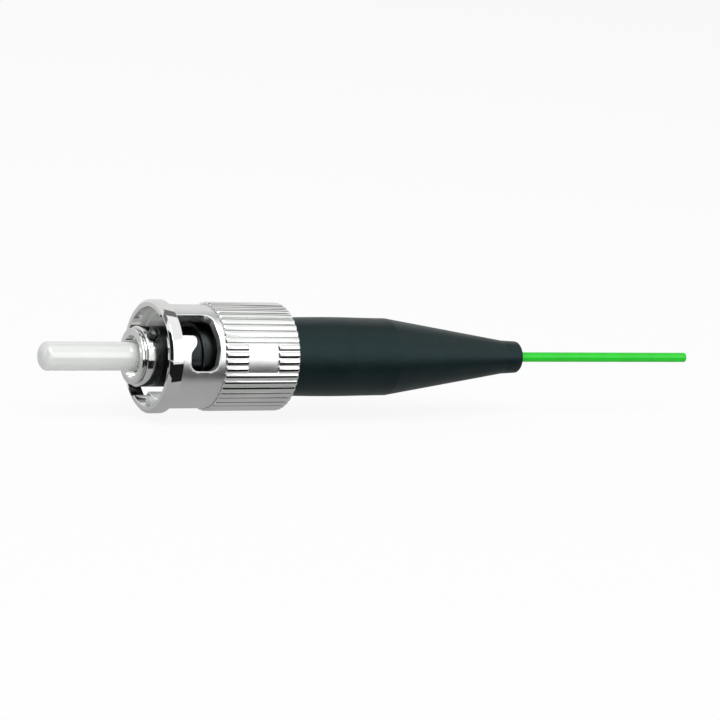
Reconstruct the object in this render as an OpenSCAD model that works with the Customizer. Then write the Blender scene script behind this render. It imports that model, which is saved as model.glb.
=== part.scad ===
// ST fibre connector, bayonet type, with a short boot and a tight-buffered fibre.
// The axis runs along X. The ferrule's end face is at X = 0 and the fibre leaves towards +X.
// Angles round the axis are counted from +Z towards -Y.

/* [Ferrule] */
// Outside diameter of the ceramic ferrule
ferrule_d = 2.5; // [2.3:0.05:2.8]
// Length that stands out in front of the collar
ferrule_out = 8.55; // [7:0.05:10]
// Diameter of the polished end face
tip_face_d = 1; // [0.7:0.05:1.4]
// Length of the rounded bevel behind the end face
tip_bevel = 0.68; // [0.4:0.02:1]
// Radius of curvature of the polished end face
tip_dome_r = 12; // [7:1:25]
// Length pressed into the ferrule holder
ferrule_grip = 3.65; // [2.5:0.05:5]
// Width of the glue groove just inside the holder
glue_groove_w = 0.6; // [0.55:0.05:0.9]
// Depth of the glue groove
glue_groove_depth = 0.22; // [0.18:0.02:0.4]
// Diameter of the glass fibre
glass_d = 0.125; // [0.1:0.005:0.15]

/* [Ferrule holder] */
// Outside diameter of the collar
collar_d = 4.9; // [4.6:0.05:5.2]
// Thickness of the collar's lip
lip_t = 0.22; // [0.15:0.01:0.5]
// Diameter of the recess round the ferrule
recess_d = 3.64; // [3.6:0.02:4]
// Depth of the recess
recess_depth = 0.8; // [0.4:0.05:1.2]
// Diameter of the tail that is pressed into the body
holder_d = 4.3; // [4.2:0.02:4.4]
// Width of the open groove between the lip and the body
neck_w = 0.2; // [0.1:0.01:0.5]
// Thickness of the holder's back wall
holder_wall = 0.5; // [0.3:0.05:0.8]

/* [Connector body] */
// Outside diameter of the front barrel
barrel_d = 5.3; // [5.2:0.05:5.6]
// Distance from the collar's face to the adapter's stop
adapter_depth = 5.55; // [5.3:0.05:6.2]
// Outside diameter of the stop
stop_d = 6; // [5.7:0.05:6.4]
// Length of the stop in front of the flange
stop_len = 1.2; // [1:0.05:1.8]
// Thickness of the flange that carries the spring
flange_t = 0.6; // [0.4:0.05:0.9]
// Outside diameter of the rear tube
tube_d = 4.9; // [4.7:0.05:5.1]
// Diameter of the stem inside the boot
stem_d = 4.1; // [3.8:0.05:4.4]
// Length of the stem inside the boot
stem_len = 9; // [7:0.1:11]
// Number of barbs on the stem
barbs = 5; // [2:1:7]
// Height of a barb above the stem
barb_h = 0.25; // [0.15:0.01:0.35]
// Depth of the retaining clip's groove
clip_groove_depth = 0.35; // [0.2:0.01:0.45]

/* [Key] */
// Diameter of the alignment key pin
key_d = 1; // [0.8:0.05:1.2]
// Distance from the axis to the key's top
key_top = 3.5; // [3.2:0.05:3.6]
// Distance from the body's front face to the key's centre
key_set = 0.65; // [0.6:0.05:1.2]
// Angle of the key round the axis
key_angle = 39; // [0:1:90]

/* [Coupling nut] */
// Distance from the collar's face back to the nut's front face
nut_set = 1.49; // [1:0.05:2]
// Outside diameter of the front ring
ring_d = 9.92; // [9.6:0.02:10.2]
// Length of the front ring
ring_len = 1.26; // [0.9:0.02:1.6]
// Bore of the front ring
ring_bore = 8.6; // [8.2:0.05:8.8]
// Outside diameter of the plain barrel
nut_d = 9.1; // [8.9:0.05:9.3]
// Length of the plain barrel
nut_plain = 4.2; // [4:0.05:4.8]
// Bore that passes over the adapter's barrel
nut_bore = 7.5; // [7.3:0.02:7.8]
// Thickness of the inner wall that the spring pushes
rear_wall = 0.9; // [0.6:0.05:1.2]
// Depth of the recess in the rear face
rear_recess = 0.85; // [0.75:0.05:1.2]
// Diameter of the recess in the rear face
rear_recess_d = 7.44; // [7.3:0.02:7.8]
// Forward travel of the nut against its spring
nut_travel = 1.8; // [1.2:0.1:2]
// Turn of the nut round the axis at rest
nut_turn = 41; // [0:1:360]

/* [Bayonet slots] */
// Number of slots
slots = 2; // [1:1:3]
// Width of a slot
slot_w = 2.2; // [2:0.05:2.4]
// Distance from the ring to the turning channel
channel_set = 1.52; // [1.3:0.02:1.6]
// Turn from the entry to the seat
seat_turn = 40.4; // [30:0.2:50]
// Depth of the seat in front of the channel
seat_depth = 0.62; // [0.3:0.02:0.8]
// How far the channel's rear side lies behind the ends of the entry and the seat
channel_relief = 0.06; // [0.02:0.01:0.2]
// Corner radius at the end of the entry
entry_round = 0.75; // [0.3:0.05:1]
// Corner radius of the seat
seat_round = 0.95; // [0.5:0.05:1]
// Corner radius of the tongue
tongue_round = 0.25; // [0.1:0.05:0.4]
// Diameter over the lugs that the ring's grooves let through
lug_d = 9.2; // [9:0.02:9.3]

/* [Knurl] */
// Outside diameter over the ridges
knurl_d = 9.6; // [9.4:0.02:9.8]
// Length of the knurled grip
knurl_len = 7.25; // [6.6:0.05:8]
// Number of ridges
ridges = 45; // [36:1:50]
// Radius of a ridge's rounded top
ridge_r = 0.5; // [0.45:0.01:0.6]
// Radius of the groove between two ridges
groove_r = 0.1; // [0.06:0.01:0.14]
// Bevel at the ends of the ridges
knurl_bevel = 0.2; // [0.1:0.02:0.3]
// Length and width of the plain pad in the knurl
pad_size = 2.85; // [2:0.05:3.5]
// Distance from the knurl's front to the pad
pad_set = 2.25; // [1:0.05:3]
// Depth of the pad below the ridges
pad_depth = 0.22; // [0.2:0.01:0.4]

/* [Spring, washer and clip] */
// Diameter of the spring wire
wire_d = 0.5; // [0.35:0.01:0.55]
// Mean diameter of the spring
spring_d = 6.1; // [5.9:0.02:6.3]
// Thickness of the thrust washer
washer_t = 0.3; // [0.2:0.02:0.4]
// Outside diameter of the thrust washer
washer_d = 7.1; // [6.8:0.02:7.2]
// Thickness of the retaining clip
clip_t = 0.5; // [0.3:0.02:0.6]
// Outside diameter of the retaining clip
clip_d = 6.8; // [6.2:0.05:7]
// Opening of the retaining clip, as an angle
clip_gap = 70; // [40:5:120]

/* [Boot] */
// Outside diameter of the cylindrical part
boot_d = 7; // [6.8:0.02:7.1]
// Overall length
boot_len = 25.45; // [22:0.05:30]
// Length of the cylindrical part
boot_plain = 11.2; // [10:0.1:13]
// Swell of the radius half way along the cylindrical part
boot_swell = 0.06; // [0:0.01:0.12]
// Diameter where the taper ends
boot_taper_d = 3.08; // [2.6:0.02:3.6]
// Diameter at the rear end
boot_end_d = 2.92; // [2.4:0.02:3.4]
// Length of the short end behind the taper
boot_end_len = 1.65; // [1:0.05:3]
// Radius of the rear edge
boot_edge = 0.18; // [0.05:0.01:0.4]

/* [Fibre] */
// Diameter of the buffered fibre
buffer_d = 0.9; // [0.8:0.01:1]
// Outside diameter of the guide tube
guide_d = 1.8; // [1.6:0.02:2]
// Length of the guide tube behind the stem
guide_out = 2; // [1:0.1:3]

/* [Fits] */
// Running clearance on the radius between the nut and the body
run_gap = 0.08; // [0.03:0.01:0.1]
// Clearance between faces that rest against each other
face_gap = 0.02; // [0.01:0.01:0.05]
// Clearance on the radius round the buffered fibre
buffer_gap = 0.05; // [0.02:0.01:0.1]
// Clearance on the radius round the glass fibre
glass_gap = 0.001; // [0.0005:0.0005:0.003]

/* [Hidden] */

$fn = 96;
over = 0.5; // how far a cutter reaches past the surface that it cuts
edge = 0.15; // small turned bevel on the metal parts
ring_edge = 0.25; // bevel on the nut's front ring
bevel_steps = 8; // straight steps that make up the ferrule's rounded bevel

// Stations along the axis, from the ferrule's end face
collar_x = ferrule_out;
recess_x = collar_x + recess_depth;
body_x = collar_x + lip_t + neck_w;
ferrule_end_x = recess_x + ferrule_grip;
holder_end_x = ferrule_end_x + holder_wall;
stop_x = collar_x + adapter_depth;
flange_x = stop_x + stop_len;
flange_end_x = flange_x + flange_t;
nut_x = collar_x + nut_set;
ring_end_x = nut_x + ring_len;
knurl_x = ring_end_x + nut_plain;
nut_end_x = knurl_x + knurl_len;
wall_end_x = nut_end_x - rear_recess;
wall_x = wall_end_x - rear_wall;
washer_x = wall_x - face_gap - washer_t;
clip_x = wall_end_x + face_gap;
boot_x = clip_x + clip_t + 4 * face_gap;
stem_end_x = boot_x + stem_len;
boot_end_x = boot_x + boot_len;
guide_x = holder_end_x + face_gap;
channel_x = ring_end_x + channel_set;
channel_end_x = channel_x + slot_w;
lug_end_x = channel_end_x - channel_relief;
seat_x = channel_x - seat_depth;

// Radii that follow from the fits
glass_bore_r = glass_d / 2 + glass_gap;
buffer_bore_r = buffer_d / 2 + buffer_gap;
flange_r = nut_bore / 2 - run_gap;
tube_bore_r = tube_d / 2 + run_gap;
barb_r = stem_d / 2 + barb_h;
clip_groove_r = tube_d / 2 - clip_groove_depth;
knurl_root_r = knurl_d / 2 - ridge_r;
pad_r = knurl_d / 2 - pad_depth;
funnel_r = ferrule_d / 2 - 0.75;

// The spring has as many turns as lie side by side when the nut is right forward
spring_x = flange_end_x + face_gap;
spring_len = washer_x - face_gap - spring_x;
spring_turns = max(3, floor((spring_len - nut_travel) / wire_d - 1.1));
closed_turns = 0.9; // turns at each end that lie against their neighbour
turn_steps = 24;
wire_sides = 8;

// The buffered fibre runs straight through the body, the guide tube and the boot
buffer_route = [
    for (x = [14.5, 17, 19.5, 22, 24.5, 27, 29.5, 32, 34.5, 37, 39.5, 42, 44.5, 47,
              49, 51, 53, 55, 57, 59, 61, 63, 65, 67.2]) [x, 0, 0]
];
buffer_sides = 8;

// Stands a shape that is modelled along Z on the connector's axis
module on_axis() rotate([0, 90, 0]) children();

// Turns a feature that is modelled on the +X side to an angle round the axis
module at_angle(a) rotate([0, 0, 180 + a]) children();

// A turned solid from a list of [station, radius] points
module turned(profile) rotate_extrude() polygon([for (p = profile) [p[1], p[0]]]);

// A hole along the axis between two stations
module bore(x0, x1, r) translate([0, 0, x0]) cylinder(h = x1 - x0, r = r);

// Cuts from the outside towards the axis: the outline is drawn as [station, sideways]
module cut_inwards(r_in, r_out)
    rotate([0, -90, 0]) translate([0, 0, -r_out]) linear_extrude(r_out - r_in) children();

// A rectangle with round corners, from one corner to the opposite one
module round_rect(x0, x1, y0, y1, r) {
    translate([x0 + r, y0]) square([x1 - x0 - 2 * r, y1 - y0]);
    translate([x0, y0 + r]) square([x1 - x0, y1 - y0 - 2 * r]);
    for (x = [x0 + r, x1 - r], y = [y0 + r, y1 - r])
        translate([x, y]) circle(r = r, $fn = 32);
}

// ---- Ferrule and its holder ----

function dome(r) = tip_dome_r - sqrt(tip_dome_r * tip_dome_r - r * r);

// The bevel is part of an ellipse that ends in line with the ferrule's side
bevel_start = 30;
function bevel_r(t) = ferrule_d / 2
    - (ferrule_d - tip_face_d) / 2 * (1 - sin(t)) / (1 - sin(bevel_start));
function bevel_x(t) = dome(tip_face_d / 2)
    + (tip_bevel - dome(tip_face_d / 2)) * (cos(bevel_start) - cos(t)) / cos(bevel_start);

module ferrule() color("whitesmoke") on_axis() difference() {
    turned(concat(
        [for (k = [0 : 3]) let (r = tip_face_d / 2 * k / 4) [dome(r), r]],
        [for (k = [0 : bevel_steps]) let (t = bevel_start + (90 - bevel_start) * k / bevel_steps)
            [bevel_x(t), bevel_r(t)]],
        [
            [recess_x, ferrule_d / 2],
            [recess_x, ferrule_d / 2 - glue_groove_depth],
            [recess_x + glue_groove_w, ferrule_d / 2 - glue_groove_depth],
            [recess_x + glue_groove_w, ferrule_d / 2],
            [ferrule_end_x - edge, ferrule_d / 2],
            [ferrule_end_x, ferrule_d / 2 - edge],
            [ferrule_end_x, 0]
        ]
    ));
    bore(-over, ferrule_end_x + over, glass_bore_r, $fn = 32);
    // the funnel that leads the glass into its bore
    translate([0, 0, ferrule_end_x - 2 * funnel_r])
        cylinder(h = 2 * funnel_r, r1 = glass_bore_r, r2 = funnel_r);
}

module ferrule_holder() color("silver") on_axis() difference() {
    turned([
        [collar_x, 0],
        [collar_x, collar_d / 2 - edge / 2],
        [collar_x + edge / 2, collar_d / 2],
        [collar_x + lip_t, collar_d / 2],
        [collar_x + lip_t, holder_d / 2],
        [holder_end_x - edge, holder_d / 2],
        [holder_end_x, holder_d / 2 - edge],
        [holder_end_x, 0]
    ]);
    bore(collar_x - over, recess_x, recess_d / 2);
    bore(recess_x - over, ferrule_end_x, ferrule_d / 2);
    bore(ferrule_end_x - over, holder_end_x + over, guide_d / 2);
}

// ---- Connector body and key ----

module key_place() translate([0, 0, body_x + key_set]) at_angle(key_angle) children();

module key_pin() color("silver") on_axis() key_place() rotate([0, 90, 0]) intersection() {
    translate([0, 0, holder_d / 2 + face_gap])
        cylinder(h = key_top - holder_d / 2 - face_gap, d = key_d, $fn = 48);
    // the crowned top
    translate([0, 0, key_top - key_d]) sphere(r = key_d, $fn = 64);
}

function barb_points(k) = let (x0 = boot_x + over + k * (stem_len - 2 * over) / barbs,
                               x1 = x0 + 0.7 * (stem_len - 2 * over) / barbs) [
    [x0, stem_d / 2], [x0, barb_r], [x0 + 0.1, barb_r], [x1, stem_d / 2]
];

module connector_body() color("silver") on_axis() difference() {
    turned(concat(
        [
            [body_x, 0],
            [body_x, barrel_d / 2 - edge],
            [body_x + edge, barrel_d / 2],
            [stop_x, barrel_d / 2],
            [stop_x, stop_d / 2 - edge],
            [stop_x + edge, stop_d / 2],
            [flange_x, stop_d / 2],
            [flange_x, flange_r],
            [flange_end_x, flange_r],
            [flange_end_x, tube_d / 2],
            [clip_x - face_gap, tube_d / 2],
            [clip_x - face_gap, clip_groove_r],
            [clip_x + clip_t + face_gap, clip_groove_r],
            [clip_x + clip_t + face_gap, tube_d / 2],
            [boot_x, tube_d / 2],
            [boot_x, stem_d / 2]
        ],
        [for (k = [0 : barbs - 1], p = barb_points(k)) p],
        [[stem_end_x, stem_d / 2], [stem_end_x, 0]]
    ));
    bore(body_x - over, holder_end_x, holder_d / 2);
    bore(holder_end_x - over, stem_end_x + over, guide_d / 2 + face_gap);
    // the hole that the key is pressed into
    key_place() rotate([0, 90, 0]) cylinder(h = barrel_d, d = key_d, $fn = 48);
}

// ---- Coupling nut ----

module knurl_outline() difference() {
    union() {
        circle(r = knurl_root_r + ridge_r / 2);
        for (k = [0 : ridges - 1]) rotate((k + 0.5) * 360 / ridges)
            translate([knurl_root_r, 0]) circle(r = ridge_r, $fn = 32);
    }
    for (k = [0 : ridges - 1]) rotate(k * 360 / ridges)
        translate([knurl_valley(), 0]) circle(r = groove_r, $fn = 16);
}

// Radius at which the rounded tops of two ridges meet
function knurl_valley() = let (half = 180 / ridges)
    knurl_root_r * cos(half) + sqrt(ridge_r * ridge_r - pow(knurl_root_r * sin(half), 2));

module knurl() intersection() {
    translate([0, 0, knurl_x]) linear_extrude(knurl_len) knurl_outline();
    turned([
        [knurl_x, 0],
        [knurl_x, knurl_d / 2 - knurl_bevel / 2],
        [knurl_x + knurl_bevel, knurl_d / 2 + knurl_bevel / 2],
        [nut_end_x - 1.5 * knurl_bevel, knurl_d / 2 + knurl_bevel / 2],
        [nut_end_x, knurl_d / 2 - knurl_bevel],
        [nut_end_x, 0]
    ]);
}

// One J-shaped slot. Its entry lies on the +X side and its seat is turned from it.
module bayonet_slot() {
    r_in = nut_bore / 2 - over;
    r_out = ring_d / 2 + over;
    half = slot_w / 2;
    // the entry, with the tongue's corner rounded where the channel begins
    cut_inwards(r_in, r_out) {
        round_rect(channel_x, lug_end_x, -half, half, entry_round);
        translate([ring_end_x, -half])
            square([lug_end_x - ring_end_x - entry_round, slot_w]);
        difference() {
            translate([channel_x - tongue_round, half])
                square([tongue_round + over / 2, tongue_round]);
            translate([channel_x - tongue_round, half + tongue_round])
                circle(r = tongue_round, $fn = 32);
        }
    }
    // the channel that the lug follows as the nut turns
    rotate_extrude(angle = seat_turn) translate([r_in, channel_x])
        square([r_out - r_in, slot_w]);
    // the seat that the spring pulls the lug into
    rotate([0, 0, seat_turn]) cut_inwards(r_in, r_out)
        round_rect(seat_x, lug_end_x, -half, half, seat_round);
    // the groove that lets the lug through the ring
    intersection() {
        bore(nut_x - over, ring_end_x + over, lug_d / 2);
        cut_inwards(r_in, r_out) translate([nut_x - over, -half])
            square([ring_len + 2 * over, slot_w]);
    }
}

// The plain pad, centred on the seat's angle
module pad_cut() {
    turn = pad_size / (knurl_d / 2) * 180 / PI;
    rotate([0, 0, seat_turn - turn / 2]) rotate_extrude(angle = turn)
        translate([pad_r, knurl_x + pad_set]) square([pad_depth + over, pad_size]);
}

module coupling_nut() color("silver") on_axis() at_angle(nut_turn) difference() {
    union() {
        turned([
            [nut_x, 0],
            [nut_x, ring_d / 2 - ring_edge],
            [nut_x + ring_edge, ring_d / 2],
            [ring_end_x - edge / 2, ring_d / 2],
            [ring_end_x, ring_d / 2 - edge / 2],
            [ring_end_x, nut_d / 2],
            [knurl_x + over, nut_d / 2],
            [knurl_x + over, 0]
        ]);
        knurl();
    }
    bore(nut_x - over, ring_end_x, ring_bore / 2);
    bore(ring_end_x - over, wall_x, nut_bore / 2);
    bore(wall_x - over, wall_end_x + over, tube_bore_r);
    bore(wall_end_x, nut_end_x + over, rear_recess_d / 2);
    for (k = [0 : slots - 1]) rotate([0, 0, k * 360 / slots]) bayonet_slot();
    pad_cut();
}

// ---- Spring, washer and clip ----

// Height of the wire's middle after a number of turns
function coil_z(n) = let (tight = wire_d * 1.02,
                          open = (spring_len - wire_d - 2 * closed_turns * tight)
                              / (spring_turns - 2 * closed_turns))
    wire_d / 2 + tight * min(n, closed_turns)
    + open * max(0, min(n, spring_turns - closed_turns) - closed_turns)
    + tight * max(0, n - spring_turns + closed_turns);

module coil_spring() color("gainsboro") {
    rings = spring_turns * turn_steps;
    points = [for (i = [0 : rings], k = [0 : wire_sides - 1])
        let (turn = 360 * i / turn_steps, side = 360 * k / wire_sides,
             r = spring_d / 2 + wire_d / 2 * cos(side))
        [r * cos(turn), r * sin(turn), spring_x + coil_z(i / turn_steps) + wire_d / 2 * sin(side)]];
    on_axis() polyhedron(points, tube_faces(rings + 1, wire_sides));
}

module thrust_washer() color("silver") on_axis() difference() {
    translate([0, 0, washer_x]) cylinder(h = washer_t, d = washer_d);
    bore(washer_x - over, washer_x + washer_t + over, tube_bore_r);
}

module retaining_clip() color("dimgray") on_axis() difference() {
    translate([0, 0, clip_x]) cylinder(h = clip_t, d = clip_d);
    bore(clip_x - over, clip_x + clip_t + over, clip_groove_r + face_gap);
    rotate([0, 0, -clip_gap / 2]) rotate_extrude(angle = clip_gap)
        translate([clip_groove_r / 2, clip_x - over]) square([clip_d, clip_t + 2 * over]);
}

// ---- Boot ----

boot_taper_x = boot_x + boot_plain;
boot_tail_x = boot_end_x - boot_end_len;

// Radius along the cylindrical part, which swells a little half way
function boot_r(x) = boot_d / 2 + boot_swell * pow(sin(180 * (x - boot_x) / boot_plain), 2);

module boot() color("darkslategray") on_axis() difference() {
    turned(concat(
        [[boot_x, 0]],
        [for (k = [0 : 12]) let (x = boot_x + boot_plain * k / 12) [x, boot_r(x)]],
        [[boot_tail_x, boot_taper_d / 2]],
        [for (t = [0 : 15 : 90])
            [boot_end_x - boot_edge * (1 - sin(t)), boot_end_d / 2 - boot_edge * (1 - cos(t))]],
        [[boot_end_x, 0]]
    ));
    bore(boot_x - over, stem_end_x + face_gap, barb_r);
    bore(stem_end_x, stem_end_x + guide_out + face_gap, guide_d / 2 + face_gap);
    bore(stem_end_x, boot_end_x + over, buffer_bore_r);
}

// ---- Fibre ----

module guide_tube() color("ghostwhite") on_axis() difference() {
    translate([0, 0, guide_x]) cylinder(h = stem_end_x + guide_out - guide_x, d = guide_d);
    bore(guide_x - over, stem_end_x + guide_out + over, buffer_bore_r);
}

module glass_fibre() color("lightcyan") on_axis()
    bore(0, buffer_route[0][0], glass_d / 2, $fn = 24);

// Faces of a tube of rings with the same number of points, closed at both ends
function tube_faces(rings, sides) = concat(
    [[for (k = [0 : sides - 1]) k]],
    [for (i = [0 : rings - 2], k = [0 : sides - 1]) let (n = (k + 1) % sides)
        [i * sides + k, (i + 1) * sides + k, (i + 1) * sides + n, i * sides + n]],
    [[for (k = [0 : sides - 1]) rings * sides - 1 - k]]
);

module buffered_fibre() color("limegreen") polyhedron(
    [for (p = buffer_route, k = [0 : buffer_sides - 1]) let (a = 360 * (k + 0.5) / buffer_sides)
        p + buffer_d / 2 * [0, cos(a), sin(a)]],
    tube_faces(len(buffer_route), buffer_sides)
);

ferrule();
ferrule_holder();
key_pin();
connector_body();
coil_spring();
thrust_washer();
coupling_nut();
retaining_clip();
boot();
guide_tube();
glass_fibre();
buffered_fibre();
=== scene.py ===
"""Dresses the bayonet fibre connector: smooth metal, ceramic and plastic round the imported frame.

Lengths in the classes are in millimetres and the meshes are written in metres. The axis runs
along X, and angles round it are counted from +Z towards -Y.
"""

import logging
import math
from dataclasses import dataclass
from enum import Enum

import bmesh
import bpy
from mathutils import Matrix, Vector
from mathutils.geometry import delaunay_2d_cdt

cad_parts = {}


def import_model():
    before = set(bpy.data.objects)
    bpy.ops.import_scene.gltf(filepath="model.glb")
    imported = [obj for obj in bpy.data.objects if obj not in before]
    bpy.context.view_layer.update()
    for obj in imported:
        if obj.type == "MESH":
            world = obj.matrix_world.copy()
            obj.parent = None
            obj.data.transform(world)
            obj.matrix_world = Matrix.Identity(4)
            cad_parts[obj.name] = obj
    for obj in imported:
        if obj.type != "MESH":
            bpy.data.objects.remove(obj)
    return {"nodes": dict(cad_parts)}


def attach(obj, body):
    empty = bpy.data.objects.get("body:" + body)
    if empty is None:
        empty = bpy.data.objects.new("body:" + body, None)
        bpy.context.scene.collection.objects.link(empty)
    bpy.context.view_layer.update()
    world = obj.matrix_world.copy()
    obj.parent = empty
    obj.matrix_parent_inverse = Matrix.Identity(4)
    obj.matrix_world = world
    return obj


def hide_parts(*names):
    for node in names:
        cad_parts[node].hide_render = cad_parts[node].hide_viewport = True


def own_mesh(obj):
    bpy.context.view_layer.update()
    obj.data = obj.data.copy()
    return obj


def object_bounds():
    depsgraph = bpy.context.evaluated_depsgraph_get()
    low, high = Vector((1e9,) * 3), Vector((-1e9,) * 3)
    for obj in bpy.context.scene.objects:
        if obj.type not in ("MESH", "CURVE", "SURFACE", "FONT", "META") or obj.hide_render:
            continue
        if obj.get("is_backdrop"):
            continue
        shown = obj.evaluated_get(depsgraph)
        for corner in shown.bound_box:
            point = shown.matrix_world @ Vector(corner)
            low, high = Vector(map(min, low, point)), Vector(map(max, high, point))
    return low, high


LOG = logging.getLogger("connector")
MM = 0.001
Point = tuple[float, float]
Vertex = tuple[float, float, float]
Mesh = tuple[list[Vertex], list[tuple[int, ...]]]
# Near-black colour of the painted shade that a Metal lays between its shade stations.
PAINTED_SHADE = (0.03, 0.034, 0.035, 1)
DULLER = 0.22
CLOSE = 1e-6


class Plating(Enum):
    """How brightly a plated part is finished."""

    BRIGHT = 0.055
    TURNED = 0.1
    SATIN = 0.22
    BEAD = 0.34


# ---------------------------------------------------------------- shared helpers


def polar(x: float, r: float, phi: float) -> Vertex:
    """Turns a station, a radius and an angle into a point.

    Args:
        x: Station along the axis, in millimetres.
        r: Distance from the axis, in millimetres.
        phi: Angle from +Z towards -Y, in degrees.

    Returns:
        The point, in metres.
    """
    a = math.radians(phi)
    return (x * MM, -r * math.sin(a) * MM, r * math.cos(a) * MM)


def finish_mesh(name: str, verts: list[Vertex], faces: list[tuple[int, ...]],
                sharp: float = 32.0, weld: float = 0.0004) -> bpy.types.Object:
    """Welds, orients and shades a mesh, and puts it in the scene.

    Args:
        name: Name of the piece.
        verts: Points, in metres.
        faces: Faces as point numbers.
        sharp: Angle above which an edge stays sharp, in degrees.
        weld: Distance below which points are one, in millimetres.

    Returns:
        The new object.
    """
    mesh = bpy.data.meshes.new(name)
    mesh.from_pydata(verts, [], faces)
    bm = bmesh.new()
    bm.from_mesh(mesh)
    bmesh.ops.remove_doubles(bm, verts=bm.verts, dist=weld * MM)
    bmesh.ops.dissolve_degenerate(bm, edges=bm.edges, dist=weld * MM / 4)
    bmesh.ops.recalc_face_normals(bm, faces=bm.faces)
    loose = [v for v in bm.verts if not v.link_faces]
    bmesh.ops.delete(bm, geom=loose, context="VERTS")
    open_edges = sum(1 for e in bm.edges if len(e.link_faces) != 2)
    bm.to_mesh(mesh)
    bm.free()
    mesh.shade_smooth()
    mesh.set_sharp_from_angle(angle=math.radians(sharp))
    obj = bpy.data.objects.new(name, mesh)
    bpy.context.scene.collection.objects.link(obj)
    LOG.info("%s: %d faces, %d open edges", name, len(mesh.polygons), open_edges)
    return obj


def soften(obj: bpy.types.Object) -> bpy.types.Object:
    """Weights a piece's normals by face area, so that broad faces shade evenly beside bevels.

    Args:
        obj: The piece.

    Returns:
        The same piece, with its mesh replaced.
    """
    modifier = obj.modifiers.new("Weighted", "WEIGHTED_NORMAL")
    modifier.keep_sharp = True
    modifier.weight = 80
    return apply_modifiers(obj)


def apply_modifiers(obj: bpy.types.Object) -> bpy.types.Object:
    """Makes a piece's modifiers real.

    Args:
        obj: The piece.

    Returns:
        The same piece without modifiers.
    """
    bpy.context.view_layer.update()
    graph = bpy.context.evaluated_depsgraph_get()
    mesh = bpy.data.meshes.new_from_object(obj.evaluated_get(graph), depsgraph=graph)
    obj.modifiers.clear()
    obj.data = mesh
    return obj


def rounded(profile: list[tuple[float, ...]], radius: float = 0.05, steps: int = 4,
            closed: bool = False) -> list[Point]:
    """Rounds the corners of a profile with true arcs.

    Args:
        profile: Corners as (station, radius) pairs; a third item is the corner's own radius.
        radius: Corner radius where a corner gives none, in millimetres.
        steps: Number of straight parts in each corner.
        closed: True if the last corner joins the first.

    Returns:
        The points of the rounded profile.
    """
    out: list[Point] = []
    n = len(profile)
    for i, corner in enumerate(profile):
        here = Vector(corner[:2])
        r = corner[2] if len(corner) > 2 else radius
        if (i in (0, n - 1) and not closed) or r <= 0:
            out.append(tuple(here))
            continue
        a = Vector(profile[i - 1][:2]) - here
        b = Vector(profile[(i + 1) % n][:2]) - here
        half = a.angle(b) / 2
        if not 0.01 < half < math.radians(89):
            out.append(tuple(here))
            continue
        cut = min(r / math.tan(half), 0.48 * a.length, 0.48 * b.length)
        start, end = here + a.normalized() * cut, here + b.normalized() * cut
        weight = math.sin(half)
        for k in range(steps + 1):
            t = k / steps
            w0, w1, w2 = (1 - t) ** 2, 2 * weight * t * (1 - t), t * t
            out.append(tuple((start * w0 + here * w1 + end * w2) / (w0 + w1 + w2)))
    return out


def offset(points: list[Point], distance: float) -> list[Point]:
    """Moves an open line sideways, to the left of its direction.

    Args:
        points: The line's points.
        distance: How far it moves.

    Returns:
        The moved points.
    """
    if not distance:
        return list(points)
    out = []
    for i, here in enumerate(points):
        sides = []
        for p, q in ((i - 1, i), (i, i + 1)):
            if 0 <= p and q < len(points):
                d = Vector(points[q]) - Vector(points[p])
                if d.length > 1e-9:
                    sides.append(Vector((-d.y, d.x)).normalized())
        mean = sum(sides, Vector((0, 0))).normalized()
        reach = max(0.5, mean.dot(sides[0]))
        out.append(tuple(Vector(here) + mean * distance / reach))
    return out


def inside(x: float, y: float, polygon: list[Point]) -> bool:
    """Tells whether a point lies in a polygon.

    Args:
        x: First coordinate.
        y: Second coordinate.
        polygon: The polygon's corners.

    Returns:
        True if it does.
    """
    found = False
    for (x0, y0), (x1, y1) in zip(polygon, polygon[1:] + polygon[:1]):
        if (y0 > y) != (y1 > y) and x < (x1 - x0) * (y - y0) / (y1 - y0) + x0:
            found = not found
    return found


def turned(name: str, profile: list[Point], sides: int = 180, sharp: float = 32.0,
           loop: bool = False) -> bpy.types.Object:
    """Makes a turned solid.

    Args:
        name: Name of the piece.
        profile: (station, radius) pairs; both ends lie on the axis unless loop is set.
        sides: Number of faces round the axis.
        sharp: Angle above which an edge stays sharp, in degrees.
        loop: True if the profile closes on itself, as for a ring.

    Returns:
        The piece.
    """
    verts: list[Vertex] = []
    faces: list[tuple[int, ...]] = []
    index: list[list[int]] = []
    for x, r in profile:
        if r < CLOSE:
            verts.append(polar(x, 0, 0))
            index.append([len(verts) - 1] * sides)
        else:
            index.append(list(range(len(verts), len(verts) + sides)))
            verts += [polar(x, r, 360 * k / sides) for k in range(sides)]
    pairs = list(zip(index, index[1:])) + ([(index[-1], index[0])] if loop else [])
    for one, two in pairs:
        for k in range(sides):
            n = (k + 1) % sides
            face = []
            for v in (one[k], one[n], two[n], two[k]):
                if v not in face:
                    face.append(v)
            if len(face) > 2:
                faces.append(tuple(face))
    return finish_mesh(name, verts, faces, sharp)


def lofted(sections: list[list[Vertex]], ring: bool = False) -> Mesh:
    """Joins sections of equal size one after another.

    Args:
        sections: Each section's points, in metres.
        ring: True if the last section joins the first; otherwise both ends are closed.

    Returns:
        The points and the faces.
    """
    size, count = len(sections[0]), len(sections)
    faces: list[tuple[int, ...]] = []
    for k in range(count if ring else count - 1):
        n = (k + 1) % count
        for i in range(size):
            j = (i + 1) % size
            faces.append((k * size + i, k * size + j, n * size + j, n * size + i))
    if not ring:
        faces += [tuple(range(size)), tuple((count - 1) * size + i for i in range(size))]
    return [point for section in sections for point in section], faces


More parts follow.
